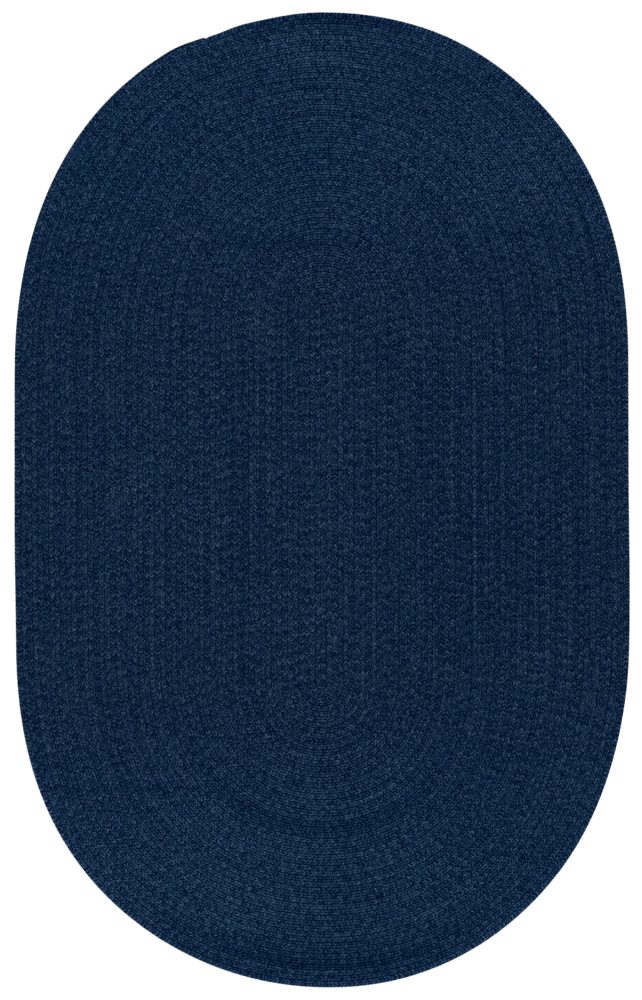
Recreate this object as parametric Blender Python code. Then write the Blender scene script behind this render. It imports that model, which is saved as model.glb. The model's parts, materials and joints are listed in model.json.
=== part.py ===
"""Oval braided rug: one long flat braid, wound outward in a flat spiral and laced row to row.

The rug lies on z = 0. +Y runs along its length, +X across its width, and the middle of its outline is
the origin. Seen from above, the braid starts on the spine at the far tip and winds clockwise.
"""

import math

import bmesh
import bpy

# Overall size, metres
LENGTH = 2.438
WIDTH = 1.538
THICKNESS = 0.0095

# The spine is the straight run that the first turn is wound round. Far is +Y, near is -Y.
SPINE_FAR_Y = 0.485
SPINE_NEAR_Y = -0.460

# At the rug's edge the straight sides end here, and each end is a superellipse of this power.
SIDE_FAR_Y = 0.346
SIDE_NEAR_Y = -0.370
FAR_END_POWER = 2.16
NEAR_END_POWER = 2.09

# How far the laced rows push the edge out of that oval, by the direction seen from the middle.
# Columns: clock_deg (0 is the far tip, 90 is +X), out_mm
UNEVEN_EDGE = (
    (0, 2.0),
    (12, 1.2),
    (24, -0.4),
    (40, 3.2),
    (62, -1.9),
    (82, -1.2),
    (108, 1.6),
    (130, -3.2),
    (148, 0.6),
    (170, 3.0),
    (196, -5.2),
    (219, 2.6),
    (240, -2.6),
    (266, 1.6),
    (289, 1.5),
    (308, -1.6),
    (331, 0.0),
    (350, -6.4),
)

# The winding. Each turn of braid is one row.
WHOLE_TURNS = 54
GROOVE_DEPTH = 0.0028
END_TAPER_TURNS = 0.1
END_BUMP = 0.0025

# Stations round the rug, counted clockwise from the far tip
END_QUARTER_STEPS = 11
SIDE_STEPS = 2
AROUND = 4 * END_QUARTER_STEPS + 2 * SIDE_STEPS
HALF_AROUND = AROUND // 2
BRAID_END_STATION = -2

# The rounded edge below the outermost row. Columns: inset_m, height as a share of the thickness
EDGE_PROFILE = (
    (0.0, 0.45),
    (0.0012, 0.2),
    (0.0035, 0.0),
)
TOP_INSET = 0.0012

NAVY = (0.0046, 0.0194, 0.0648, 1.0)
YARN_ROUGHNESS = 0.9

HALF_WIDTH = WIDTH / 2
HALF_LENGTH = LENGTH / 2


def oval_point(out, station):
    """The point at a station of the oval that runs `out` from the spine along the rug's sides."""
    station %= AROUND
    side = 1 if station <= HALF_AROUND else -1
    step = station if side > 0 else AROUND - station
    share = out / HALF_WIDTH
    far_y = SPINE_FAR_Y + share * (SIDE_FAR_Y - SPINE_FAR_Y)
    near_y = SPINE_NEAR_Y + share * (SIDE_NEAR_Y - SPINE_NEAR_Y)
    if step <= END_QUARTER_STEPS:
        turn = math.pi / 2 * step / END_QUARTER_STEPS
        x, y = superellipse(turn, out, share * (HALF_LENGTH - SIDE_FAR_Y), FAR_END_POWER)
        return side * x, far_y + y
    if step >= HALF_AROUND - END_QUARTER_STEPS:
        turn = math.pi / 2 * (HALF_AROUND - step) / END_QUARTER_STEPS
        x, y = superellipse(turn, out, share * (HALF_LENGTH + SIDE_NEAR_Y), NEAR_END_POWER)
        return side * x, near_y - y
    along = (step - END_QUARTER_STEPS) / SIDE_STEPS
    return side * out, far_y + along * (near_y - far_y)


def superellipse(turn, across, deep, power):
    """A point on a quarter superellipse, from its tip (turn 0) to its side (turn a quarter circle)."""
    bend = 2 / power
    return across * math.sin(turn) ** bend, deep * max(math.cos(turn), 0.0) ** bend


def uneven(station):
    """How far the edge stands out of the plain oval at a station, in metres."""
    x, y = oval_point(HALF_WIDTH, station)
    clock = math.degrees(math.atan2(x, y)) % 360
    table = UNEVEN_EDGE + ((360, UNEVEN_EDGE[0][1]),)
    for (before, low), (after, high) in zip(table, table[1:]):
        if clock <= after:
            ease = (1 - math.cos(math.pi * (clock - before) / (after - before))) / 2
            return (low + ease * (high - low)) / 1000
    return 0.0


def turn_share(index):
    """How far round the last turn a station lies: 0 just past the braid's end, 1 at the end itself."""
    return (index - BRAID_END_STATION) % AROUND / AROUND


def last_row_width(share):
    """Width of the outermost row, 1 for a full row. It tapers away where the braid ends."""
    return min(1.0, (1 - share) / END_TAPER_TURNS)


OUTER_START = WHOLE_TURNS * AROUND + BRAID_END_STATION
OUTER_STOP = OUTER_START + AROUND
TOP_HALF_WIDTH = HALF_WIDTH - TOP_INSET
END_BUMP_STATION = (BRAID_END_STATION - 1) % AROUND


def rows_across(index):
    """Rows between the spine and the edge at a station, the tapered one counted by its width."""
    share = turn_share(index)
    return OUTER_START / AROUND - 0.5 + share + last_row_width(share)


def edge_bulge(index):
    """The edge's unevenness at a station, with the small bump of the tucked-in end."""
    bump = END_BUMP if index % AROUND == END_BUMP_STATION else 0.0
    return uneven(index) + bump


def raw_point(out, index):
    """A point of the uneven oval. The rows take up the edge's unevenness little by little."""
    share = out / HALF_WIDTH
    return oval_point(out + edge_bulge(index) * share**2, index)


def edge_box():
    """Middle and half size of the uneven edge, from its own points."""
    points = [raw_point(HALF_WIDTH, index) for index in range(AROUND)]
    lows = [min(p[axis] for p in points) for axis in (0, 1)]
    highs = [max(p[axis] for p in points) for axis in (0, 1)]
    middle = [(low + high) / 2 for low, high in zip(lows, highs)]
    half = [(high - low) / 2 for low, high in zip(lows, highs)]
    return middle, half


EDGE_MIDDLE, EDGE_HALF = edge_box()


def rug_point(out, index, z):
    """A point of the rug, with the whole outline centred and brought to its stated size."""
    x, y = raw_point(out, index)
    x = (x - EDGE_MIDDLE[0]) * HALF_WIDTH / EDGE_HALF[0]
    y = (y - EDGE_MIDDLE[1]) * HALF_LENGTH / EDGE_HALF[1]
    return x, y, z


def groove_point(index):
    """The seam on the outer side of the braid, half a row beyond its crown."""
    if index >= OUTER_START:
        out = TOP_HALF_WIDTH
    else:
        out = TOP_HALF_WIDTH * (index / AROUND + 0.5) / rows_across(index)
    return rug_point(out, index, THICKNESS - GROOVE_DEPTH)


def crown_point(index):
    """The top of the braid, in the middle of its row."""
    rows = index / AROUND
    if index >= OUTER_START:
        rows += (last_row_width(turn_share(index)) - 1) / 2
    return rug_point(TOP_HALF_WIDTH * rows / rows_across(index), index, THICKNESS)


def build_rug_mesh():
    """A closed slab: ribbed by the wound rows above, rounded at the edge and flat below."""
    bm = bmesh.new()
    grooves = {i: bm.verts.new(groove_point(i)) for i in range(-HALF_AROUND, OUTER_STOP)}
    crowns = {i: bm.verts.new(crown_point(i)) for i in range(OUTER_STOP)}
    # The last row ends in its own inner seam.
    grooves[OUTER_STOP] = crowns[OUTER_STOP] = grooves[OUTER_START]

    def face(*corners):
        bm.faces.new(list(dict.fromkeys(corners)))

    def inner(index):
        """The seam inside a crown. The first run's lies across the spine from it."""
        return grooves[index - AROUND] if index >= HALF_AROUND else grooves[-index]

    for i in range(OUTER_STOP):
        face(crowns[i], crowns[i + 1], grooves[i + 1], grooves[i])
        face(crowns[i], inner(i), inner(i + 1), crowns[i + 1])

    upper = [grooves[i] for i in range(OUTER_START, OUTER_STOP)]
    for inset, height in EDGE_PROFILE:
        lower = [
            bm.verts.new(rug_point(HALF_WIDTH - inset, i, height * THICKNESS))
            for i in range(OUTER_START, OUTER_STOP)
        ]
        for k in range(AROUND):
            after = (k + 1) % AROUND
            face(upper[k], upper[after], lower[after], lower[k])
        upper = lower
    face(*upper)

    bmesh.ops.recalc_face_normals(bm, faces=bm.faces)
    mesh = bpy.data.meshes.new("braided_rug")
    bm.to_mesh(mesh)
    bm.free()
    return mesh


def yarn_material():
    material = bpy.data.materials.new("navy_braid")
    material.use_nodes = True
    shader = material.node_tree.nodes["Principled BSDF"]
    shader.inputs["Base Color"].default_value = NAVY
    shader.inputs["Roughness"].default_value = YARN_ROUGHNESS
    shader.inputs["Metallic"].default_value = 0.0
    return material


for old in list(bpy.data.objects):
    bpy.data.objects.remove(old)

collection = bpy.data.collections.new("oval_braided_rug")
bpy.context.scene.collection.children.link(collection)
rug = bpy.data.objects.new("braided_rug", build_rug_mesh())
rug.data.materials.append(yarn_material())
collection.objects.link(rug)
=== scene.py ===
"""The looks of the oval braided rug: a navy flat braid, wound outward and laced row to row.

On top, each row is a column of chevrons. Both arms of a chevron start at the row's middle and run outward
and forward, and each arm is one short domed stroke. The strokes lie over a ribbed sheet. Along the rug's
edge the outer arms go on round the side and back underneath, because the side shows.
All sizes are metres. The rug lies on z = 0, +Y is its far end and the top of the picture.
A place on the rug is given by turns of the braid, counted from its start on the spine, and by a place
across the row, from -0.5 at the inner seam to 0.5 at the outer one.
"""

import json
import math

import bpy
import numpy as np
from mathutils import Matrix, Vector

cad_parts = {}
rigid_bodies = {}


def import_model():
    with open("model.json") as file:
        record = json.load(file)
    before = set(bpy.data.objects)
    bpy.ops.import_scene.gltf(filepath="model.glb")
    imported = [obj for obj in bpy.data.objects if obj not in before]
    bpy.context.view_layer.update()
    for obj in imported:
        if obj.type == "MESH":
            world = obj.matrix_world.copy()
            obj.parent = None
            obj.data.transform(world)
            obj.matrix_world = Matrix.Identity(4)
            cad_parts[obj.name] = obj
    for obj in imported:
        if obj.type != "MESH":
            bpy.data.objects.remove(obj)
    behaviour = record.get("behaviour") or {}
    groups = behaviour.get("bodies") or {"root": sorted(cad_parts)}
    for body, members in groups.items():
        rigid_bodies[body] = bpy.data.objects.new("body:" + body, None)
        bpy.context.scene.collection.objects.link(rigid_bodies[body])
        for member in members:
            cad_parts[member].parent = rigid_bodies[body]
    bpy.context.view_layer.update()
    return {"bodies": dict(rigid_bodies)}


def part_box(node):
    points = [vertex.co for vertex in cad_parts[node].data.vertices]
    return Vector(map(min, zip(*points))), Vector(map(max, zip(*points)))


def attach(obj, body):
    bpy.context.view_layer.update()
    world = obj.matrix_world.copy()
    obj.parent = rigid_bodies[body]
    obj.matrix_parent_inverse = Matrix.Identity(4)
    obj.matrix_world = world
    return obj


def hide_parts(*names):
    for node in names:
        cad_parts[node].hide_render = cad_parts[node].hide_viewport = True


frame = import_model()
rug_low, rug_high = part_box("braided_rug")
BODY = next(iter(frame["bodies"]))

HALF_WIDTH = (rug_high.x - rug_low.x) / 2
HALF_LENGTH = (rug_high.y - rug_low.y) / 2
THICKNESS = rug_high.z

# The plan, as in the CAD source but for a sharper step where the braid ends
SPINE_FAR_Y = 0.485
SPINE_NEAR_Y = -0.460
SIDE_FAR_Y = 0.346
SIDE_NEAR_Y = -0.370
FAR_END_POWER = 2.16
NEAR_END_POWER = 2.09
# Columns: clock_deg (0 is the far tip, 90 is +X), out_mm
UNEVEN_EDGE = (
    (0, 2.0),
    (12, 1.2),
    (24, -0.4),
    (40, 3.2),
    (62, -1.9),
    (82, -1.2),
    (108, 1.6),
    (130, -3.2),
    (148, 0.6),
    (170, 3.0),
    (196, -5.2),
    (219, 2.6),
    (240, -2.6),
    (266, 1.6),
    (289, 1.5),
    (308, -1.6),
    (331, 0.0),
    (341, -0.5),
    (347, -10.8),
    (351, -6.2),
)
# Stations in one turn, in a quarter of an end and along a side
STATIONS = 48
END_QUARTER = 11
SIDE_RUN = 2
WHOLE_TURNS = 54
END_TAPER_TURNS = 0.1
TOP_INSET = 0.0012

# The braid. It ends a little before the far tip, and the outermost row is its last turn.
BRAID_END = -2.567 / STATIONS
OUTER_START = WHOLE_TURNS + BRAID_END
OUTER_STOP = OUTER_START + 1
CHEVRON_PITCH = 0.00957
STRANDS = 3
# How uneven the pitch is, as a share of it, and how many chevrons are drawn for each one needed
PITCH_SPREAD = 0.10
SPARE_CHEVRONS = 1.02

# Steps in one turn for the edge's unevenness and for the braid's length
UNEVEN_STEPS = 4800
LENGTH_STEPS = 960

SEED = 54
rng = np.random.default_rng(SEED)


# --- The plan ---------------------------------------------------------------------------------------


def superellipse(turn, across, deep, power):
    """A quarter superellipse, from its tip (turn 0) to its side (turn a quarter circle)."""
    bend = 2 / power
    return across * np.sin(turn) ** bend, deep * np.maximum(np.cos(turn), 0) ** bend


def oval(out, turns):
    """The plain oval `out` from the spine. Below zero, `out` lies across the spine."""
    station = (turns % 1) * STATIONS
    side = np.where(station <= STATIONS / 2, 1.0, -1.0) * np.where(out < 0, -1.0, 1.0)
    step = np.minimum(station, STATIONS - station)
    out = np.abs(out)
    share = out / HALF_WIDTH
    far_y = SPINE_FAR_Y + share * (SIDE_FAR_Y - SPINE_FAR_Y)
    near_y = SPINE_NEAR_Y + share * (SIDE_NEAR_Y - SPINE_NEAR_Y)
    from_far = np.clip(step / END_QUARTER, 0, 1) * math.pi / 2
    from_near = np.clip((STATIONS / 2 - step) / END_QUARTER, 0, 1) * math.pi / 2
    far_x, far_deep = superellipse(from_far, out, share * (HALF_LENGTH - SIDE_FAR_Y), FAR_END_POWER)
    near_x, near_deep = superellipse(from_near, out, share * (HALF_LENGTH + SIDE_NEAR_Y), NEAR_END_POWER)
    along = np.clip((step - END_QUARTER) / SIDE_RUN, 0, 1)
    at_far = step < END_QUARTER
    at_near = step > STATIONS / 2 - END_QUARTER
    x = np.where(at_far, far_x, np.where(at_near, near_x, out))
    side_y = far_y + along * (near_y - far_y)
    y = np.where(at_far, far_y + far_deep, np.where(at_near, near_y - near_deep, side_y))
    return side * x, y


def uneven_table():
    """The edge's unevenness in metres at fine steps round one turn."""
    turns = np.linspace(0, 1, UNEVEN_STEPS + 1)
    x, y = oval(np.full_like(turns, HALF_WIDTH), turns)
    clock = np.degrees(np.arctan2(x, y)) % 360
    degrees, out_mm = np.array(UNEVEN_EDGE + ((360, UNEVEN_EDGE[0][1]),), float).T
    k = np.clip(np.searchsorted(degrees, clock, side="right") - 1, 0, len(degrees) - 2)
    ease = (1 - np.cos(math.pi * (clock - degrees[k]) / (degrees[k + 1] - degrees[k]))) / 2
    return turns, (out_mm[k] + ease * (out_mm[k + 1] - out_mm[k])) / 1000


UNEVEN_TURNS, UNEVEN_OUT = uneven_table()


def uneven_oval(out, turns):
    """The oval with its uneven edge, which the inner rows take up little by little."""
    share = out / HALF_WIDTH
    push = np.interp(turns % 1, UNEVEN_TURNS, UNEVEN_OUT)
    return oval(out + push * share**2, turns)


EDGE_X, EDGE_Y = uneven_oval(np.full_like(UNEVEN_TURNS, HALF_WIDTH), UNEVEN_TURNS)


def on_rug(out, turns):
    """x and y on the rug, with the outline centred and brought to the CAD size."""
    x, y = uneven_oval(out, turns)
    x = (x - (EDGE_X.max() + EDGE_X.min()) / 2) * 2 * HALF_WIDTH / np.ptp(EDGE_X)
    y = (y - (EDGE_Y.max() + EDGE_Y.min()) / 2) * 2 * HALF_LENGTH / np.ptp(EDGE_Y)
    return x, y


def outer_row_width(turns):
    """The outermost row's width, 1 for a full row. It tapers away at the braid's end."""
    share = np.clip(turns - OUTER_START, 0, 1)
    return np.minimum(1, (1 - share) / END_TAPER_TURNS)


def place(turns, across):
    """x and y of a place on the braid."""
    share = (turns - BRAID_END) % 1
    share = np.where(turns >= OUTER_STOP, 1.0, share)
    taper = np.minimum(1, (1 - share) / END_TAPER_TURNS)
    rows = OUTER_START - 0.5 + share + taper
    in_outer = turns >= OUTER_START
    width = np.where(in_outer, taper, 1.0)
    row = turns + np.where(in_outer, (taper - 1) / 2, 0) + across * width
    return on_rug((HALF_WIDTH - TOP_INSET) * row / rows, turns)


def measure_braid():
    """Turns and metres along the braid's middle, at the same points."""
    turns = np.linspace(0, OUTER_STOP, (WHOLE_TURNS + 1) * LENGTH_STEPS + 1)
    x, y = place(turns, 0)
    metres = np.concatenate([[0], np.cumsum(np.hypot(np.diff(x), np.diff(y)))])
    return turns, metres


BRAID_TURNS, BRAID_METRES = measure_braid()


def turns_at(metres):
    return np.interp(metres, BRAID_METRES, BRAID_TURNS)


def metres_at(turns):
    return np.interp(turns, BRAID_TURNS, BRAID_METRES)


# --- Smooth random values ---------------------------------------------------------------------------

# The blotches' size, the least and greatest share of it that a wave has, and the number of waves
BLOTCH_SIZE = 0.2
BLOTCH_SIZES = (0.6, 1.6)
BLOTCH_WAVES = 14


def drift(metres, spacing):
    """Smooth random values along the braid, a new one each `spacing`, about 1 in size."""
    values = rng.standard_normal(int(BRAID_METRES[-1] / spacing) + 3)
    at = np.clip(metres, 0, BRAID_METRES[-1]) / spacing
    low = np.floor(at).astype(int)
    ease = (1 - np.cos(math.pi * (at - low))) / 2
    return values[low] * (1 - ease) + values[low + 1] * ease


def blotches(x, y):
    """Smooth random values over the plane, about 1 in size: a sum of waves in random directions."""
    total = np.zeros_like(x)
    for _ in range(BLOTCH_WAVES):
        heading, phase = rng.uniform(0, 2 * math.pi, 2)
        number = math.pi / (BLOTCH_SIZE * rng.uniform(*BLOTCH_SIZES))
        total += np.sin(number * (x * math.cos(heading) + y * math.sin(heading)) + phase)
    return total * math.sqrt(2 / BLOTCH_WAVES)


def chevron_places():
    """Metres along the braid of each chevron's point."""
    count = int(BRAID_METRES[-1] / CHEVRON_PITCH * SPARE_CHEVRONS)
    steps = CHEVRON_PITCH * (1 + PITCH_SPREAD * rng.standard_normal(count))
    places = np.cumsum(steps) - steps[0]
    return places[places < BRAID_METRES[-1]]


CHEVRONS = chevron_places()


# --- Meshes -----------------------------------------------------------------------------------------


def add_piece(name, points, faces, material, uv, attributes):
    """A smooth-shaded mesh object on the rug. `uv` has a row for each face corner."""
    mesh = bpy.data.meshes.new(name)
    mesh.from_pydata(points.tolist(), [], faces)
    layer = mesh.uv_layers.new(name="OFBake")
    layer.uv.foreach_set("vector", np.ascontiguousarray(uv, np.float32).ravel())
    for label, values in attributes.items():
        kind = "FLOAT" if values.ndim == 1 else "FLOAT_VECTOR"
        attribute = mesh.attributes.new(label, kind, "POINT")
        slot = "value" if values.ndim == 1 else "vector"
        attribute.data.foreach_set(slot, np.ascontiguousarray(values, np.float32).ravel())
    mesh.shade_smooth()
    mesh.materials.append(material)
    piece = bpy.data.objects.new(name, mesh)
    bpy.context.scene.collection.objects.link(piece)
    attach(piece, BODY)
    return piece


# --- Materials --------------------------------------------------------------------------------------


class Nodes:
    """Short calls that add and link shader nodes."""

    def __init__(self, name):
        self.material = bpy.data.materials.new(name)
        self.material.use_nodes = True
        self.tree = self.material.node_tree
        self.shader = self.tree.nodes["Principled BSDF"]

    def add(self, kind, inputs=None, **settings):
        node = self.tree.nodes.new(kind)
        for key, value in settings.items():
            setattr(node, key, value)
        for key, value in (inputs or {}).items():
            if isinstance(value, bpy.types.NodeSocket):
                self.tree.links.new(value, node.inputs[key])
            else:
                node.inputs[key].default_value = value
        return node

    def maths(self, operation, first, second=0.0, third=0.0):
        node = self.add("ShaderNodeMath", {0: first, 1: second, 2: third}, operation=operation)
        return node.outputs[0]

    def attribute(self, name, output="Fac"):
        return self.add("ShaderNodeAttribute", attribute_name=name).outputs[output]

    def noise(self, place_socket, scale, detail=2.0):
        node = self.add("ShaderNodeTexNoise", {"Vector": place_socket, "Scale": scale, "Detail": detail})
        return node.outputs["Fac"]

    def ramp(self, factor, stops):
        node = self.add("ShaderNodeValToRGB", {"Fac": factor})
        elements = node.color_ramp.elements
        while len(elements) < len(stops):
            elements.new(0.5)
        for element, (position, colour) in zip(elements, stops):
            element.position = position
            element.color = (*colour, 1.0)
        return node.outputs["Color"]

    def tint(self, colour, place_socket):
        """The colour, its red and blue drifting a little from place to place and bluer at the ends."""
        drifts = self.noise(place_socket, TINT_SCALE, 0.0)
        low = tuple(1 - spread / 2 + more for spread, more in zip(TINT_SPREAD, TINT_MIDDLE))
        inputs = {0: drifts, 1: TINT_SPREAD, 2: low}
        factors = self.add("ShaderNodeVectorMath", inputs, operation="MULTIPLY_ADD").outputs[0]
        far = self.maths("ABSOLUTE", self.add("ShaderNodeSeparateXYZ", {0: place_socket}).outputs[1])
        inputs = {"Value": far, "From Min": TINT_STARTS_Y, "From Max": TINT_STOPS_Y}
        ends = self.add("ShaderNodeMapRange", inputs).outputs[0]
        inputs = {0: ends, 1: TINT_ENDS, 2: factors}
        factors = self.add("ShaderNodeVectorMath", inputs, operation="MULTIPLY_ADD").outputs[0]
        inputs = {0: colour, 1: factors}
        return self.add("ShaderNodeVectorMath", inputs, operation="MULTIPLY").outputs[0]

    def finish_cloth(self, colour, relief, bump):
        """The cloth's colour, relief and matte finish, set on the shader. Returns the material."""
        bump = self.add("ShaderNodeBump", {"Height": relief, **bump})
        self.tree.links.new(colour, self.shader.inputs["Base Color"])
        self.tree.links.new(bump.outputs["Normal"], self.shader.inputs["Normal"])
        for name, value in CLOTH_FINISH.items():
            self.shader.inputs[name].default_value = value
        return self.material


def srgb(red, green, blue):
    """A colour given as 0 to 255 screen values, in linear light."""
    values = np.array([red, green, blue]) / 255
    return tuple(np.where(values <= 0.04045, values / 12.92, ((values + 0.055) / 1.055) ** 2.4))


# Columns: how light the yarn is, from 0 to 1, and its screen colour
YARN_TONES = (
    (0.0, srgb(0, 7, 31)),
    (0.24, srgb(0, 19, 43)),
    (0.4, srgb(12, 33, 56)),
    (0.6, srgb(30, 50, 72)),
    (1.0, srgb(81, 97, 119)),
)
# Painted shade: how much darker a stroke is at its sides, its ends less than its middle, and at its head
SIDE_PAINTED_SHADE = 0.24
SIDE_POWER = 3.0
SIDE_AT_ENDS = 0.1
SIDE_MORE_IN_MIDDLE = 1.3
HEAD_PAINTED_SHADE = 0.04
HEAD_POWER = 8.0
# Flecks: how much their tones differ, and how many of them lie along a stroke and across half of it
FLECK_TONES = 0.18
FLECKS_LONG = 4.0
FLECKS_WIDE = 1.6
# Plies: their tone, how many lines they make, how these slant and how far they stand out
PLY_TONES = 0.05
PLY_LINES = 5.0
PLY_SLANT = 1.3
PLY_RELIEF = 0.5
# Heathering and fibres over the whole rug
HEATHER_TONES = 1.08
HEATHER_SCALE = 350.0
FIBRE_SCALE = 1600.0
YARN_BUMP = {"Strength": 0.35, "Distance": 0.0006}
# The underside: its weave's slant and tone, its heathering, and how far the fibres stand out
WEAVE_SLANT = 1.5
WEAVE_TONES = 0.14
BASE_HEATHER_TONES = 0.4
BASE_HEATHER_SCALE = 520.0
BASE_FIBRE_RELIEF = 0.2
BASE_BUMP = {"Strength": 0.8, "Distance": 0.0012}
# How much red, green and blue drift from place to place, and change from the rug's middle to its ends
TINT_SCALE = 22.0
TINT_SPREAD = (0.26, 0.0, 0.2)
TINT_ENDS = (-0.16, 0.0, 0.12)
TINT_MIDDLE = (-0.01, 0.0, -0.03)
TINT_STARTS_Y = 0.45
TINT_STOPS_Y = 0.85
CLOTH_FINISH = {
    "Roughness": 0.9,
    "Specular IOR Level": 0.0,
    "Sheen Weight": 0.03,
    "Sheen Roughness": 0.5,
    "Sheen Tint": (*srgb(0, 90, 200), 1.0),
}


def yarn_material():
    """Matte heathered yarn: flecks and fine plies along each stroke, with painted shade at its sides and
    head.
    """
    nodes = Nodes("navy_yarn")
    spot = nodes.add("ShaderNodeTexCoord").outputs["Object"]
    tone = nodes.attribute("tone")
    stroke = nodes.attribute("stroke", "Vector")
    along, across, number = nodes.add("ShaderNodeSeparateXYZ", {0: stroke}).outputs
    # Painted shade at the stroke's sides, the most in its middle, and at its head
    sides = nodes.maths("POWER", nodes.maths("ABSOLUTE", across), SIDE_POWER)
    middle = nodes.maths("SINE", nodes.maths("MULTIPLY", along, math.pi))
    middle = nodes.maths("POWER", middle, 2.0)
    middle = nodes.maths("MULTIPLY_ADD", middle, SIDE_MORE_IN_MIDDLE, SIDE_AT_ENDS)
    sides = nodes.maths("MULTIPLY", sides, middle)
    head = nodes.maths("POWER", along, HEAD_POWER)
    shade = nodes.maths("MULTIPLY_ADD", sides, -SIDE_PAINTED_SHADE, tone)
    shade = nodes.maths("MULTIPLY_ADD", head, -HEAD_PAINTED_SHADE, shade)
    cells = {
        0: nodes.maths("MULTIPLY", along, FLECKS_LONG),
        1: nodes.maths("MULTIPLY", across, FLECKS_WIDE),
        2: number,
    }
    cells = nodes.add("ShaderNodeCombineXYZ", cells).outputs[0]
    flecks = nodes.add("ShaderNodeTexVoronoi", {"Vector": cells, "Scale": 1.0}).outputs["Color"]
    fleck = nodes.add("ShaderNodeSeparateXYZ", {0: flecks}).outputs[0]
    fleck = nodes.maths("SUBTRACT", fleck, 0.5)
    shade = nodes.maths("MULTIPLY_ADD", fleck, FLECK_TONES, shade)
    lines = nodes.maths("MULTIPLY_ADD", along, PLY_SLANT, nodes.maths("MULTIPLY", across, PLY_LINES))
    lines = nodes.maths("SINE", nodes.maths("MULTIPLY", lines, math.pi))
    shade = nodes.maths("MULTIPLY_ADD", lines, PLY_TONES, shade)
    heather = nodes.maths("SUBTRACT", nodes.noise(spot, HEATHER_SCALE, 0.0), 0.5)
    shade = nodes.maths("MULTIPLY_ADD", heather, HEATHER_TONES, shade)
    colour = nodes.tint(nodes.ramp(shade, YARN_TONES), spot)
    relief = nodes.maths("MULTIPLY_ADD", lines, PLY_RELIEF, nodes.noise(spot, FIBRE_SCALE))
    return nodes.finish_cloth(colour, relief, YARN_BUMP)


def base_material():
    """The sheet under the strokes: darkest between them, as painted shade, and braided as the top on its
    underside.
    """
    nodes = Nodes("navy_underside")
    spot = nodes.add("ShaderNodeTexCoord").outputs["Object"]
    tone = nodes.attribute("tone")
    weave = nodes.add("ShaderNodeSeparateXYZ", {0: nodes.attribute("weave", "Vector")}).outputs
    slant = nodes.maths("MULTIPLY_ADD", nodes.maths("ABSOLUTE", weave[1]), -WEAVE_SLANT, weave[0])
    waves = nodes.maths("SINE", nodes.maths("MULTIPLY", slant, 2 * math.pi))
    crossings = nodes.maths("MULTIPLY", waves, weave[2])
    heather = nodes.noise(spot, BASE_HEATHER_SCALE)
    heather = nodes.maths("MULTIPLY_ADD", heather, BASE_HEATHER_TONES, -BASE_HEATHER_TONES / 2)
    shade = nodes.maths("MULTIPLY_ADD", crossings, WEAVE_TONES, nodes.maths("ADD", tone, heather))
    colour = nodes.ramp(shade, YARN_TONES)
    relief = nodes.maths("MULTIPLY_ADD", nodes.noise(spot, FIBRE_SCALE), BASE_FIBRE_RELIEF, crossings)
    return nodes.finish_cloth(colour, relief, BASE_BUMP)


# --- The braid's tone -------------------------------------------------------------------------------

YARN_TONE = 0.456
# How much lighter each strand's crests are, in the order in which their chevrons follow each other, the
# share of it on a stroke's middle line, and how much less of it there is at the sides. It is partly the
# strands' own lighter and darker yarn, and on the lighter strands partly a painted highlight along the
# middle line
CREST_TONES = (0.092, 0.026, -0.118)
CREST_MIDDLE = 1.3
CREST_FALL = 2.0
# How much the tone differs from chevron to chevron, from arm to arm and over the rug
CHEVRON_SPREAD = 0.012
ARM_SPREAD = 0.025
BLOTCH_TONES = 0.010
# How much it drifts along the braid, and the metres from one random value to the next: for the whole
# braid, and at two scales for each strand's outer and inner half
ROW_DRIFT = 0.016
ROW_SPACING = 0.5
STRAND_DRIFT = 0.01
STRAND_SPACING = 0.35
COLUMN_DRIFT = 0.012
COLUMN_SPACING = 0.8
# Painted shade in the creases at the seams and at the rows' middles: how dark it is, and how much that
# drifts
SEAM_PAINTED_SHADE = 0.045
SEAM_DRIFT = 0.05
MIDDLE_PAINTED_SHADE = 0.01
MIDDLE_DRIFT = 0.045
LINE_SPACING = 0.5
# Where those lines start on a stroke, from its tail (0) to its head (1), and how long they take
SEAM_STARTS = 0.6
MIDDLE_STARTS = 0.4
LINE_BLEND = 0.3
# Where the rows run across the rug: how much lighter the arms' middles are, as painted light, how much
# darker they are at the seams and at the rows' middles, as painted shade in the creases, and how much
# weaker the strands' contrast is
END_CROWN = 0.09
END_SEAM = 0.135
END_MIDDLE = 0.075
END_CALM = 0.25
# How fast the braid counts as running across the rug as it turns that way
ACROSS_GAIN = 1.5
# How much the strands' contrast drifts, and how much more of it the inner arms have on the left, as
# painted light from one side
BOLD_DRIFT = 0.2
BOLD_SPACING = 0.08
LEFT_PAINTED_LIGHT = 0.2
LEFT_BLEND = 0.3
# How much stronger the strands' contrast is in the innermost rows, and how many rows that takes in
HEART_BOLD = 0.12
HEART_ROWS = 12.0
# Painted light and shade: how much lighter the ends are and darker the middle is, and where and how
# softly that changes
END_PAINTED_LIGHT = 0.018
END_STARTS_Y = 0.66
END_BLEND = 0.1
# Marks that the photo shows: painted shade along fold creases, and paler and darker patches.
# Columns: x, y, half length and half width in metres, and how much lighter
MARKS = (
    # Painted shade along fold creases
    (-0.08, 0.640, 0.19, 0.017, -0.07),
    (0.51, 0.668, 0.15, 0.012, -0.05),
    (-0.48, -0.725, 0.19, 0.010, -0.08),
    (0.45, -0.10, 0.34, 0.45, -0.028),
    (-0.35, -0.98, 0.30, 0.14, 0.03),
    (-0.50, 0.015, 0.05, 0.07, 0.04),
    (-0.18, 0.425, 0.06, 0.08, 0.03),
    (-0.03, 1.120, 0.12, 0.05, 0.04),
    (0.46, 0.790, 0.12, 0.09, 0.03),
    (-0.45, 0.800, 0.13, 0.13, -0.02),
    (0.44, -0.830, 0.16, 0.14, -0.02),
)

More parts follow.
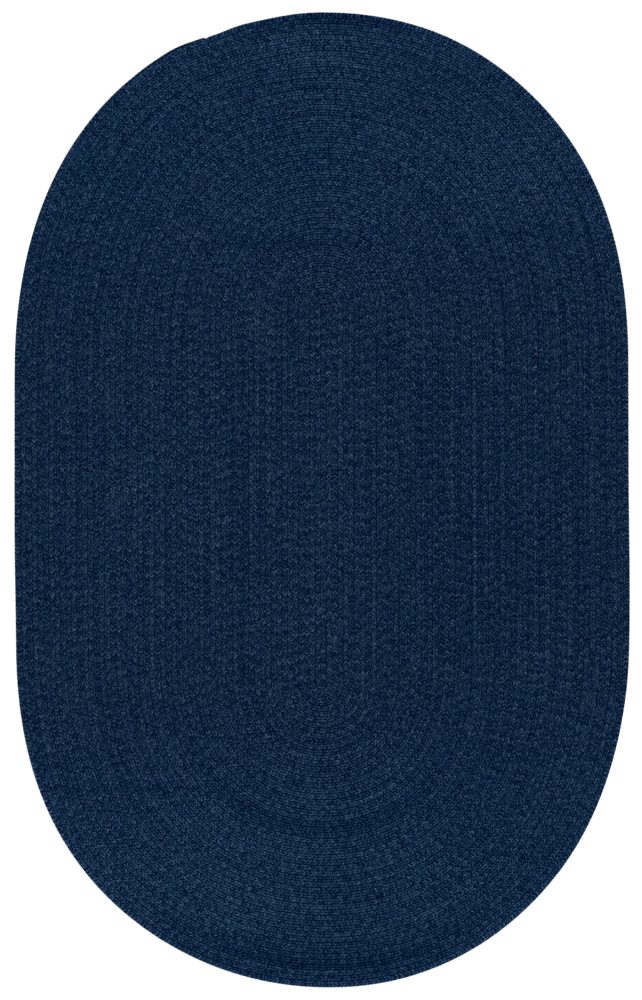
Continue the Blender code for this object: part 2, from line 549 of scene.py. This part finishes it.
# Rows that are lighter or darker for a part of their turn, as the photo shows, such as the rims at both
# ends. Columns: row, half width in rows, place round the turn from 0 to 1 (0.5 is the near tip), half
# length in turns, and how much lighter
ROW_MARKS = (
    (51.1, 2.3, 0.497, 0.075, -0.10),
    (53.6, 1.2, 0.0, 0.035, -0.12),
    (26.5, 1.2, 0.498, 0.14, -0.09),
    (14.0, 1.0, 0.52, 0.16, 0.03),
    (12.3, 0.8, 0.52, 0.16, -0.04),
    (2.5, 1.0, 0.25, 0.2, 0.015),
    (5.8, 0.6, 0.0, 0.2, 0.03),
    (7.9, 0.7, 0.0, 0.2, -0.015),
    (9.9, 0.6, 0.0, 0.18, 0.03),
    (14.6, 0.8, 0.68, 0.12, -0.05),
    (27.5, 0.8, 0.08, 0.12, -0.04),
    (31.0, 1.2, 0.55, 0.12, 0.03),
)


def apart_from_neighbours(values):
    """Values at the chevrons, less their mean in the rows on both sides. Their spread stays the same."""
    turns = turns_at(CHEVRONS)
    inner = np.interp(metres_at(turns - 1), CHEVRONS, values)
    outer = np.interp(metres_at(turns + 1), CHEVRONS, values)
    return (values - (inner + outer) / 2) * math.sqrt(2 / 3)


# Tones of the whole braid along its length, and of each chevron
ROW_TONES = ROW_DRIFT * apart_from_neighbours(drift(CHEVRONS, ROW_SPACING))
CHEVRON_TONES = CHEVRON_SPREAD * rng.standard_normal(len(CHEVRONS))


def arm_tones(numbers, x, y):
    """How light the yarn is in one arm of the chevrons with these numbers, from 0 to 1."""
    places = CHEVRONS[numbers]
    tone = YARN_TONE + STRAND_DRIFT * drift(places, STRAND_SPACING)
    tone = tone + ROW_TONES[numbers] + CHEVRON_TONES[numbers]
    tone = tone + COLUMN_DRIFT * drift(places, COLUMN_SPACING)
    tone = tone + ARM_SPREAD * rng.standard_normal(len(numbers))
    tone = tone + BLOTCH_TONES * blotches(x, y)
    # Painted light at the ends and painted shade in the middle
    tone = tone + END_PAINTED_LIGHT * np.tanh((np.abs(y) - END_STARTS_Y) / END_BLEND)
    turns = turns_at(places)
    for row, wide, turn, long, lighter in ROW_MARKS:
        along = (((turns - turn + 0.5) % 1 - 0.5) / long) ** 4
        tone = tone + lighter * np.exp(-(((turns - row) / wide) ** 2) - along)
    # The marks, among them painted shade along fold creases
    for mark_x, mark_y, long, wide, lighter in MARKS:
        tone = tone + lighter * np.exp(-(((x - mark_x) / long) ** 4) - ((y - mark_y) / wide) ** 2)
    return tone


# Tones of the painted shade at the seam on the chevrons' outer side, and at the row's middle
SEAM_TONES = SEAM_DRIFT * apart_from_neighbours(drift(CHEVRONS, LINE_SPACING)) - SEAM_PAINTED_SHADE
MIDDLE_TONES = MIDDLE_DRIFT * apart_from_neighbours(drift(CHEVRONS, LINE_SPACING)) - MIDDLE_PAINTED_SHADE


def column_tones(numbers, outer, local):
    """What the painted shade at the seams and at the rows' middles, and the painted light on the arms'
    middles where the rows run across the rug, add to each point of the arms.
    """
    places = CHEVRONS[numbers]
    seam_places = places if outer else metres_at(turns_at(places) - 1)
    across = across_rug(places)
    # Painted shade at the seams and the rows' middles, darker where the rows run across the rug
    seam = np.interp(seam_places, CHEVRONS, SEAM_TONES) - END_SEAM * across
    middle = MIDDLE_TONES[numbers] - END_MIDDLE * across
    at_seam = np.clip((local[:, 0] - SEAM_STARTS) / LINE_BLEND, 0, 1)
    at_middle = np.clip((MIDDLE_STARTS - local[:, 0]) / LINE_BLEND, 0, 1)
    # Painted light on the arms' middles where the rows run across the rug
    crown = END_CROWN * across[:, None] * (1 - np.maximum(at_seam, at_middle))
    return seam[:, None] * at_seam + middle[:, None] * at_middle + crown


def across_rug(places):
    """How far the braid runs across the rug at lengths along it: 0 along the sides, 1 at the tips."""
    x, y = place(turns_at(np.stack([places, places + CHEVRON_PITCH])), 0)
    return np.minimum(1, ACROSS_GAIN * np.abs(x[1] - x[0]) / np.hypot(x[1] - x[0], y[1] - y[0]))


def crest_tones(strand, outer, numbers, local):
    """How much lighter than the yarn's tone each point of a strand's strokes is, with painted light that
    gives the inner arms on the left more contrast.
    """
    # Crest tones: the strands' own yarn, and on the lighter strands a painted highlight along the middle
    # line
    crest = CREST_TONES[strand] * (CREST_MIDDLE - CREST_FALL * np.abs(local[:, 1]))
    places = CHEVRONS[numbers]
    turns = turns_at(places)
    x, _ = place(turns, 0)
    bold = 1 - END_CALM * across_rug(places) + HEART_BOLD * np.exp(-((turns / HEART_ROWS) ** 2))
    bold = bold + BOLD_DRIFT * drift(places, BOLD_SPACING)
    # Painted light: on the left the inner arms' contrast is stronger, as under light from one side
    bold = bold + LEFT_PAINTED_LIGHT * np.clip(-x / LEFT_BLEND, 0, 1) * (-1 if outer else 1)
    return bold[:, None] * crest


# --- The strokes on top -----------------------------------------------------------------------------

# One stroke, in the outer half of a row. Columns, in mm: out from the row's middle, forward along
# the braid, height over the top, half its width along the braid, and drop of its two sides
STROKE_TAIL = (-0.2, -0.8, -2.1)
STROKE_HEAD = (6.95, 7.8, -2.6)
STROKE_SECTIONS = (
    (0.6, 0.1, -1.2, 4.2, 1.6),
    (2.6, 2.5, 0.0, 4.6, 2.1),
    (4.6, 4.9, -0.1, 4.6, 2.1),
    (6.3, 7.0, -1.4, 4.0, 1.6),
)
# Where the sections lie on the stroke, and the number of the point on the second one's middle line
SECTIONS_ALONG = (0.1, 0.37, 0.66, 0.91)
MIDDLE_POINT = 5
ROW_MM = 13.9
# How far the strokes lie under the rug's top, and how much their place, size, slant and height differ
TOP_MARGIN = 0.0003
PLACE_SPREAD = 0.0006
SIZE_SPREAD = 0.05
SLANT_SPREAD = 0.12
HEIGHT_SPREAD = 0.0002
# The braid's tapering end has no inner strokes where it is narrower than this share of a row
LEAST_WIDTH = 0.2
# Each stroke has a cell of its map with a margin round it, and its own number for its flecks
CELL_MARGIN = 0.1
MOST_NUMBER = 500


def stroke_shape():
    """A stroke's 14 points: out, forward and height in mm, and their places along and across it."""
    points = [STROKE_TAIL]
    local = [(0.0, 0.0)]
    for (out, forward, height, half, drop), along in zip(STROKE_SECTIONS, SECTIONS_ALONG):
        for side in (-1, 0, 1):
            points.append((out, forward - side * half, height - abs(side) * drop))
            local.append((along, side))
    points.append(STROKE_HEAD)
    local.append((1.0, 0.0))
    return np.array(points), np.array(local)


def stroke_faces():
    """Two triangles at the tail, four between each two sections and two at the head."""
    faces = [(0, 2, 1), (0, 3, 2)]
    for low in (1, 4, 7):
        for k in (low, low + 1):
            faces += [(k, k + 1, k + 4), (k, k + 4, k + 3)]
    return faces + [(10, 11, 13), (11, 12, 13)]


def grid_uv(local):
    """A map with one square cell for each stroke. `local` is in 0 to 1 for each of its points."""
    count = len(local)
    grid = math.ceil(math.sqrt(count))
    cell = np.stack(np.divmod(np.arange(count), grid), axis=1)
    return (cell[:, None] + CELL_MARGIN + (1 - 2 * CELL_MARGIN) * local) / grid


def chevron_numbers(strand, begin, end):
    """Numbers of one strand's chevrons between two lengths along the braid."""
    numbers = np.arange(strand, len(CHEVRONS), STRANDS)
    places = CHEVRONS[numbers]
    return numbers[(places >= begin) & (places < end)]


def add_strokes(name, strand, outer, material):
    """The arms of one strand's chevrons, in one half of the rows."""
    end = metres_at(OUTER_START if outer else OUTER_STOP - END_TAPER_TURNS * LEAST_WIDTH)
    numbers = chevron_numbers(strand, 0, end)
    count = len(numbers)
    starts = CHEVRONS[numbers] + PLACE_SPREAD * rng.standard_normal(count)
    shape, local = stroke_shape()
    size = 1 + SIZE_SPREAD * rng.standard_normal((count, 1))
    middle = shape[MIDDLE_POINT, :2]
    out = middle[0] + (shape[:, 0] - middle[0]) * size
    slant = 1 + SLANT_SPREAD * rng.standard_normal((count, 1))
    forward = middle[1] + (shape[:, 1] - middle[1]) * size * slant
    lift = HEIGHT_SPREAD * rng.standard_normal((count, 1))
    z = THICKNESS - TOP_MARGIN + shape[:, 2] / 1000 + np.minimum(lift, TOP_MARGIN)
    turns = turns_at(starts[:, None] + forward / 1000)
    x, y = place(turns, (out if outer else -out) / ROW_MM)
    tone = arm_tones(numbers, x[:, MIDDLE_POINT], y[:, MIDDLE_POINT])[:, None]
    tone = tone + crest_tones(strand, outer, numbers, local)
    tone = tone + column_tones(numbers, outer, local)
    points = np.stack([x, y, z], axis=2).reshape(-1, 3)

    base = np.array(stroke_faces())
    if not outer:
        base = base[:, ::-1]
    faces = (base[None] + len(shape) * np.arange(count)[:, None, None]).reshape(-1, 3)
    inside = np.stack([local[:, 0], (local[:, 1] + 1) / 2], axis=1)
    uv = grid_uv(np.broadcast_to(inside, (count, *inside.shape))).reshape(-1, 2)
    attributes = {"tone": tone.ravel(), "stroke": stroke_places(local, count)}
    return add_piece(name, points, faces.tolist(), material, uv[faces.ravel()], attributes)


def stroke_places(local, count):
    """For each point of `count` strokes: its place along and across, and its stroke's own number."""
    places = np.zeros((count, len(local), 3))
    places[:, :, :2] = local
    places[:, :, 2] = rng.uniform(0, MOST_NUMBER, (count, 1))
    return places.reshape(-1, 3)


# --- The edge: strokes that go round the side -------------------------------------------------------

# The middle line of an edge stroke. Columns, in mm: out from the row's middle, forward along the
# braid, height over the rug's middle, and its size
EDGE_STROKE = (
    (-0.3, -0.6, 1.6, 0.55),
    (1.4, 1.0, 2.1, 0.85),
    (4.3, 3.2, 2.3, 1.0),
    (6.4, 5.4, 1.6, 1.0),
    (6.6, 7.6, 0.0, 1.0),
    (6.4, 9.8, -1.6, 1.0),
    (4.3, 12.0, -2.3, 1.0),
    (1.4, 14.2, -2.1, 0.85),
    (-0.3, 15.8, -1.6, 0.55),
)
EDGE_HALF_WIDTH_MM = 4.6
EDGE_HALF_DEPTH_MM = 2.15
RING_POINTS = 8
# The strokes wind round a line this far out from the row's middle, half way up
EDGE_CORE_MM = 1.6
# For the painted shade and crest tones: the part of a stroke on top that an edge stroke counts as, from
# its start to its end, and how much more of the inside of a ring counts as its side and gets its painted
# shade
EDGE_ALONG = (0.1, 0.6)
INSIDE_PAINTED_SHADE = 0.3
# Where the braid's end is narrower than this share of a row, the strokes stay this wide
EDGE_LEAST_WIDTH = 0.4
NO_WIDTH = 1e-3
# A stroke's cell of the map: the tube's low corner and size, and its caps' middles and half size
TUBE_CORNER = 0.05
TUBE_SIZE = (0.7, 0.9)
CAP_MIDDLES = ((0.87, 0.25), (0.87, 0.75))
CAP_HALF = (0.08, 0.2)


def edge_stroke_shape():
    """An edge stroke's rings: out, forward and height in mm, and their places on it."""
    line = np.array([row[:3] for row in EDGE_STROKE])
    size = np.array([row[3] for row in EDGE_STROKE])[:, None, None]
    way = np.gradient(line, axis=0)
    way /= np.linalg.norm(way, axis=1)[:, None]
    outward = line * (1.0, 0.0, 1.0) - (EDGE_CORE_MM, 0.0, 0.0)
    outward -= way * np.sum(outward * way, axis=1)[:, None]
    outward /= np.linalg.norm(outward, axis=1)[:, None]
    across = np.cross(way, outward)
    angle = 2 * math.pi * np.arange(RING_POINTS) / RING_POINTS
    ring = (
        EDGE_HALF_WIDTH_MM * np.cos(angle)[None, :, None] * across[:, None]
        + EDGE_HALF_DEPTH_MM * np.sin(angle)[None, :, None] * outward[:, None]
    )
    points = line[:, None] + size * ring
    local = np.zeros((len(line), RING_POINTS, 2))
    local[:, :, 0] = np.linspace(*EDGE_ALONG, len(line))[:, None]
    # The inside of a ring counts as nearer its side, so it gets more painted side shade
    local[:, :, 1] = np.cos(angle) * (1 - INSIDE_PAINTED_SHADE * np.sin(angle))
    return points.reshape(-1, 3), local.reshape(-1, 2)


def edge_stroke_faces():
    """The quads between an edge stroke's rings and a cap at each end, with each corner's map place."""
    faces, corner_uv = [], []
    for ring in range(len(EDGE_STROKE) - 1):
        for point in range(RING_POINTS):
            after = (point + 1) % RING_POINTS
            low, high = ring * RING_POINTS, (ring + 1) * RING_POINTS
            faces.append((low + point, low + after, high + after, high + point))
            for ring_step, point_step in ((0, 0), (0, 1), (1, 1), (1, 0)):
                u = TUBE_CORNER + TUBE_SIZE[0] * (ring + ring_step) / (len(EDGE_STROKE) - 1)
                v = TUBE_CORNER + TUBE_SIZE[1] * (point + point_step) / RING_POINTS
                corner_uv.append((u, v))
    size = len(EDGE_STROKE) * RING_POINTS
    caps = (range(RING_POINTS)[::-1], range(size - RING_POINTS, size))
    for cap, (middle_u, middle_v), way in zip(caps, CAP_MIDDLES, (-1, 1)):
        faces.append(tuple(cap))
        for point in range(RING_POINTS):
            angle = 2 * math.pi * point / RING_POINTS * way
            u = middle_u + CAP_HALF[0] * math.cos(angle)
            v = middle_v + CAP_HALF[1] * math.sin(angle)
            corner_uv.append((u, v))
    return faces, np.array(corner_uv)


def add_edge_braid(name, material):
    """The outer arms of the outermost row, from its middle over the side to the underside."""
    shape, local = edge_stroke_shape()
    points, tones = [], []
    begin, end = metres_at(OUTER_START), metres_at(OUTER_STOP)
    for strand in range(STRANDS):
        numbers = chevron_numbers(strand, begin, end)
        starts = CHEVRONS[numbers]
        turns = turns_at(np.minimum(starts[:, None] + shape[:, 1] / 1000, end))
        width = np.maximum(outer_row_width(turns), NO_WIDTH)
        shown = np.maximum(width, EDGE_LEAST_WIDTH)
        x, y = place(turns, shape[:, 0] / ROW_MM * shown / width)
        z = np.clip(THICKNESS / 2 + shape[:, 2] / 1000, 0, THICKNESS) * np.ones_like(x)
        points.append(np.stack([x, y, z], axis=2))
        tone = arm_tones(numbers, x[:, 0], y[:, 0])[:, None]
        tones.append(tone + crest_tones(strand, True, numbers, local))
    points = np.concatenate(points)
    count = len(points)
    faces, corner_uv = edge_stroke_faces()
    all_faces = [[c + k * len(shape) for c in face] for k in range(count) for face in faces]
    grid = math.ceil(math.sqrt(count))
    cell = np.stack(np.divmod(np.arange(count), grid), axis=1)
    uv = ((cell[:, None] + corner_uv) / grid).reshape(-1, 2)
    attributes = {"tone": np.concatenate(tones).ravel(), "stroke": stroke_places(local, count)}
    return add_piece(name, points.reshape(-1, 3), all_faces, material, uv, attributes)


# --- The sheet under the strokes --------------------------------------------------------------------

BASE_STATIONS = 144
# The ribs on top. Columns: place across the row, height in mm
BASE_TOP = ((-0.25, 6.8), (0.0, 6.2), (0.25, 6.8))
SEAM_TOP_MM = 5.5
SEAM_BOTTOM_MM = 1.3
# The sheet's rim lies under the edge strokes: its place across the outermost row, and the share of a turn
# in which it draws in from that row's seam
RIM_ACROSS = 0.2
RIM_START_TURNS = 0.01
# The sheet's tones: its top, seen between the strokes, has the darkest tone as painted shade, its
# underside's crown is lighter, and its underside's seams have painted shade in their grooves
CREVICE_PAINTED_SHADE = 0.0
UNDERSIDE_TONE = 0.42
UNDERSIDE_SEAM_PAINTED_SHADE = 0.2
# The sheet's map: its top in one half and its underside in the other
MAP_MARGIN = 0.01
MAP_LONG = 0.98
MAP_WIDE = 0.47
UNDERSIDE_MAP = 0.5


def add_base(name, material):
    """A closed ribbed sheet. Its top is just under the strokes, and its ribs show from below."""
    start = round(OUTER_START * BASE_STATIONS)
    stop = start + BASE_STATIONS
    half = BASE_STATIONS // 2
    shift = OUTER_START - start / BASE_STATIONS
    points, tones, weaves = [], [], []

    def line(first, across, height_mm, tone, underside):
        """A line of points along the braid. Returns the number that its station 0 has or would have."""
        index = np.arange(first, stop + 1)
        turns = index / BASE_STATIONS + shift * np.clip(index / start, 0, 1)
        x, y = place(turns, across)
        begin = sum(len(p) for p in points)
        points.append(np.stack([x, y, np.full_like(x, height_mm / 1000)], axis=1))
        tones.append(np.full_like(x, tone))
        chevrons = metres_at(turns) / CHEVRON_PITCH
        across = np.broadcast_to(across, x.shape)
        weaves.append(np.stack([chevrons, across, np.full_like(x, underside)], axis=1))
        return begin - first

    index = np.arange(-half, stop + 1)
    share = np.clip((index - start) / BASE_STATIONS, 0, 1)
    rim = RIM_ACROSS + (0.5 - RIM_ACROSS) * np.clip(1 - share / RIM_START_TURNS, 0, 1)
    seam_across = np.where(index >= start, rim, 0.5)
    # Painted shade: the sheet's top and its seams have the darkest tone, and the underside's seams are
    # darker
    seams_top = line(-half, seam_across, SEAM_TOP_MM, CREVICE_PAINTED_SHADE, 0)
    seams_low = line(-half, seam_across, SEAM_BOTTOM_MM, UNDERSIDE_TONE - UNDERSIDE_SEAM_PAINTED_SHADE, 1)
    tops = [line(0, across, height, CREVICE_PAINTED_SHADE, 0) for across, height in BASE_TOP]
    crown_low = line(0, 0.0, 0.0, UNDERSIDE_TONE, 1)
    points = np.concatenate(points)

    # Each side's lines end in the inner seam of the last row, and start as one point.
    swap = np.arange(len(points))
    for lines, seams in ((tops, seams_top), ([crown_low], seams_low)):
        for begin in [*lines, seams]:
            swap[begin + stop] = seams + start
    swap[tops[0]] = tops[2]

    def across_row(seams, lines, k):
        """The points across a row at a station, from its inner seam to its outer one."""
        inner = seams + k - BASE_STATIONS if k >= half else seams - k
        return [inner, *(begin + k for begin in lines), seams + k]

    top_faces, low_faces = [], []
    for k in range(stop):
        here, there = across_row(seams_top, tops, k), across_row(seams_top, tops, k + 1)
        for a in range(len(here) - 1):
            top_faces.append((here[a], there[a], there[a + 1], here[a + 1]))
        here, there = across_row(seams_low, [crown_low], k), across_row(seams_low, [crown_low], k + 1)
        for a in range(len(here) - 1):
            low_faces.append((here[a], here[a + 1], there[a + 1], there[a]))
    rim_faces = [
        (seams_top + k, seams_top + k + 1, seams_low + k + 1, seams_low + k) for k in range(start, stop)
    ]

    # Faces that the swaps leave with two corners go, and so do points that no face uses.
    faces, undersides = [], []
    for group, underside in ((top_faces, False), (low_faces, True), (rim_faces, False)):
        for face in group:
            corners = list(dict.fromkeys(int(swap[c]) for c in face))
            if len(corners) > 2:
                faces.append(corners)
                undersides.append(underside)
    used = np.unique(np.concatenate([np.array(f) for f in faces]))
    renumber = np.zeros(len(points), int)
    renumber[used] = np.arange(len(used))
    faces = [renumber[f].tolist() for f in faces]
    points = points[used]

    uv = []
    for face, underside in zip(faces, undersides):
        for x, y, _ in points[face]:
            u = MAP_MARGIN + MAP_LONG * (y + HALF_LENGTH) / (2 * HALF_LENGTH)
            v = MAP_MARGIN + MAP_WIDE * (x + HALF_WIDTH) / (2 * HALF_WIDTH) + UNDERSIDE_MAP * underside
            uv.append((u, v))
    attributes = {"tone": np.concatenate(tones)[used], "weave": np.concatenate(weaves)[used]}
    return add_piece(name, points, faces, material, np.array(uv), attributes)


yarn = yarn_material()
base = add_base("rug_base", base_material())
for strand in range(STRANDS):
    for half, outer in (("outer", True), ("inner", False)):
        add_strokes(f"strand_{strand + 1}_{half}", strand, outer, yarn)
edge = add_edge_braid("edge_braid", yarn)

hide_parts("braided_rug")


# --- Floor, light and camera ------------------------------------------------------------------------

FLOOR_HALF = 8.0
FLOOR_Z = -0.0004
# Columns: place on the noise from 0 to 1, and colour
FLOOR_TONES = (
    (0.3, (0.95, 0.95, 0.95)),
    (0.7, (0.97, 0.97, 0.97)),
)
FLOOR_SCALE = 3.0
# The camera looks straight down, and at the rug's top its picture is this tall
CAMERA_HEIGHT = 9.0
PICTURE_TALL_M = 2.4998
CAMERA_X = -0.0028
CAMERA_Y = -0.0003
SENSOR_MM = 36.0
CLIP_END = 100
WORLD_STRENGTH = 1.1
LAMP_STRENGTH = 4.0
LAMP_WIDTH_DEG = 25
LAMP_TILT_DEG = 76
# Columns: name, heading in degrees
LAMPS = (("far_lamp", 165), ("near_lamp", -15))


def add_floor():
    mesh = bpy.data.meshes.new("floor")
    corners = [(x * FLOOR_HALF, y * FLOOR_HALF, FLOOR_Z) for x, y in ((-1, -1), (1, -1), (1, 1), (-1, 1))]
    mesh.from_pydata(corners, [], [(0, 1, 2, 3)])
    nodes = Nodes("pale_floor")
    spot = nodes.add("ShaderNodeTexCoord").outputs["Object"]
    colour = nodes.ramp(nodes.noise(spot, FLOOR_SCALE), FLOOR_TONES)
    nodes.tree.links.new(colour, nodes.shader.inputs["Base Color"])
    nodes.shader.inputs["Roughness"].default_value = 1.0
    nodes.shader.inputs["Specular IOR Level"].default_value = 0.0
    mesh.materials.append(nodes.material)
    floor = bpy.data.objects.new("floor", mesh)
    bpy.context.scene.collection.objects.link(floor)


def add_light():
    world = bpy.data.worlds.new("studio")
    world.use_nodes = True
    world.node_tree.nodes["Background"].inputs["Color"].default_value = (1.0, 1.0, 1.0, 1.0)
    world.node_tree.nodes["Background"].inputs["Strength"].default_value = WORLD_STRENGTH
    bpy.context.scene.world = world
    for name, heading in LAMPS:
        sun = bpy.data.lights.new(name, "SUN")
        sun.energy = LAMP_STRENGTH
        sun.angle = math.radians(LAMP_WIDTH_DEG)
        lamp = bpy.data.objects.new(name, sun)
        lamp.rotation_euler = (math.radians(LAMP_TILT_DEG), 0, math.radians(heading))
        bpy.context.scene.collection.objects.link(lamp)


def add_camera():
    data = bpy.data.cameras.new("camera")
    data.sensor_width = SENSOR_MM
    data.lens = SENSOR_MM * (CAMERA_HEIGHT - THICKNESS) / PICTURE_TALL_M
    data.clip_end = CLIP_END
    camera = bpy.data.objects.new("camera", data)
    camera.location = (CAMERA_X, CAMERA_Y, CAMERA_HEIGHT)
    bpy.context.scene.collection.objects.link(camera)
    bpy.context.scene.camera = camera


add_floor()
add_light()
add_camera()
bpy.context.scene.view_settings.view_transform = "Standard"
